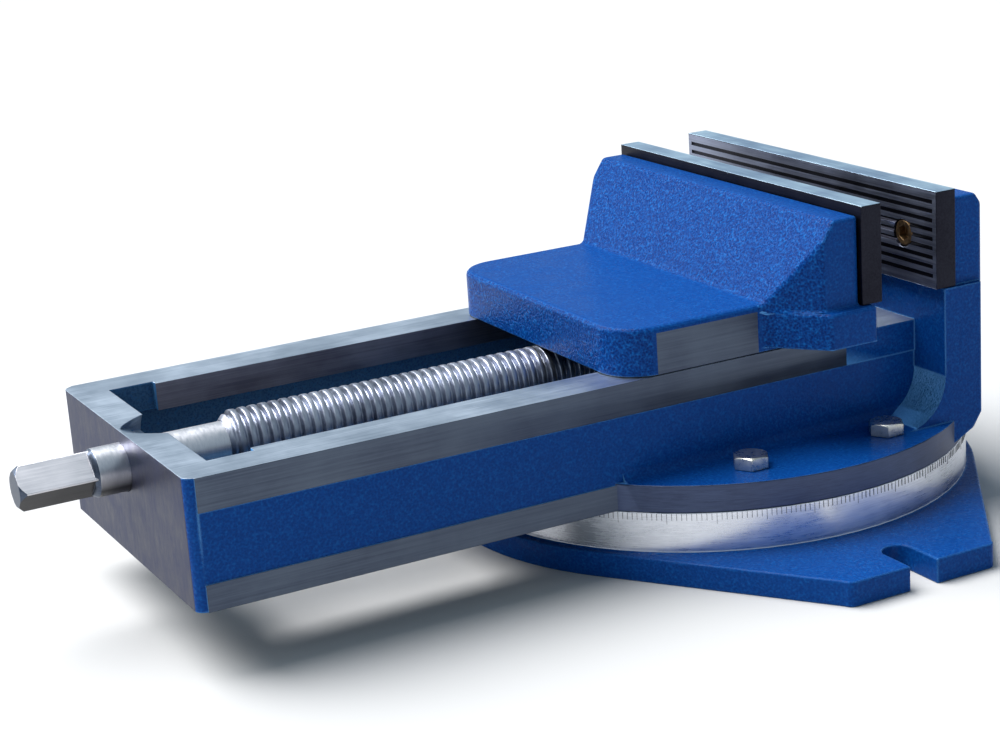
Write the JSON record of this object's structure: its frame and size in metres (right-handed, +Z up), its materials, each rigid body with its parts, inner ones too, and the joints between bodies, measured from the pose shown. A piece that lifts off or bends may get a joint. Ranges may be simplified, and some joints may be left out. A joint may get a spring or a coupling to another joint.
{
  "type": "machine vise",
  "caption": "Swivel-base machine vise: a sliding jaw driven along a cast bed by a lead screw, on a graduated round base with two slotted lugs.",
  "frame": {"origin": "on the swivel axis, at the flat underside of the base", "axes": "+Z up along the swivel axis, +X along the bed from the screw to the fixed jaw, +Y to the left of somebody at the screw looking towards the fixed jaw"},
  "size_m": [0.5702, 0.418, 0.1844],
  "materials": {
    "blue_paint": "glossy hammered royal-blue enamel on cast iron; machined faces bare",
    "base_iron": "machined grey iron",
    "bright_steel": "turned bright steel",
    "black_steel": "hardened, blackened and ground",
    "plated_steel": "zinc-plated",
    "bronze": "machined bronze"
  },
  "bodies": {
    "base": {"swivel_base": "blue_paint", "pivot_pin": "bright_steel"},
    "body": {"vise_body": "blue_paint", "fixed_jaw_plate": "black_steel", "fixed_plate_screw_1": "plated_steel", "fixed_plate_screw_2": "plated_steel", "retaining_pin_1": "bright_steel", "retaining_pin_2": "bright_steel", "t_nut_1": "bright_steel", "t_nut_2": "bright_steel", "t_nut_3": "bright_steel", "t_nut_4": "bright_steel"},
    "slide": {"moving_jaw": "blue_paint", "moving_jaw_plate": "black_steel", "moving_plate_screw_1": "plated_steel", "moving_plate_screw_2": "plated_steel", "screw_nut": "bronze", "keeper_left": "base_iron", "keeper_right": "base_iron", "nut_bolt_1": "black_steel", "nut_bolt_2": "black_steel", "nut_bolt_3": "black_steel", "nut_bolt_4": "black_steel", "keeper_screw_1": "black_steel", "keeper_screw_2": "black_steel", "keeper_screw_3": "black_steel", "keeper_screw_4": "black_steel"},
    "screw": {"lead_screw": "bright_steel"},
    "bolt_1": {"clamp_bolt_1": "plated_steel"},
    "bolt_2": {"clamp_bolt_2": "plated_steel"},
    "bolt_3": {"clamp_bolt_3": "plated_steel"},
    "bolt_4": {"clamp_bolt_4": "plated_steel"}
  },
  "joints": [
    {"name": "swivel", "type": "hinge", "parent": "base", "child": "body", "pos_m": [0, 0, 0.037], "axis": [0, 0, 1], "continuous": true},
    {"name": "screw_turn", "type": "hinge", "parent": "body", "child": "screw", "pos_m": [-0.3448, 0, 0.0871], "axis": [1, 0, 0], "range_deg": [-12906, 2208]},
    {"name": "jaw_slide", "type": "slide", "parent": "body", "child": "slide", "axis": [1, 0, 0], "range_m": [-0.215, 0.0367]},
    {"name": "clamp_bolt_1_turn", "type": "hinge", "parent": "body", "child": "bolt_1", "pos_m": [-0.045, -0.1188, 0.0523], "axis": [0, 0, 1], "range_deg": [0, 180]},
    {"name": "clamp_bolt_2_turn", "type": "hinge", "parent": "body", "child": "bolt_2", "pos_m": [0.045, -0.1188, 0.0523], "axis": [0, 0, 1], "range_deg": [0, 180]},
    {"name": "clamp_bolt_3_turn", "type": "hinge", "parent": "body", "child": "bolt_3", "pos_m": [-0.045, 0.1188, 0.0523], "axis": [0, 0, 1], "range_deg": [0, 180]},
    {"name": "clamp_bolt_4_turn", "type": "hinge", "parent": "body", "child": "bolt_4", "pos_m": [0.045, 0.1188, 0.0523], "axis": [0, 0, 1], "range_deg": [0, 180]}
  ],
  "couplings": [
    {"joint": "screw_turn", "follows": "jaw_slide", "rad_per_m": 1047.2}
  ]
}
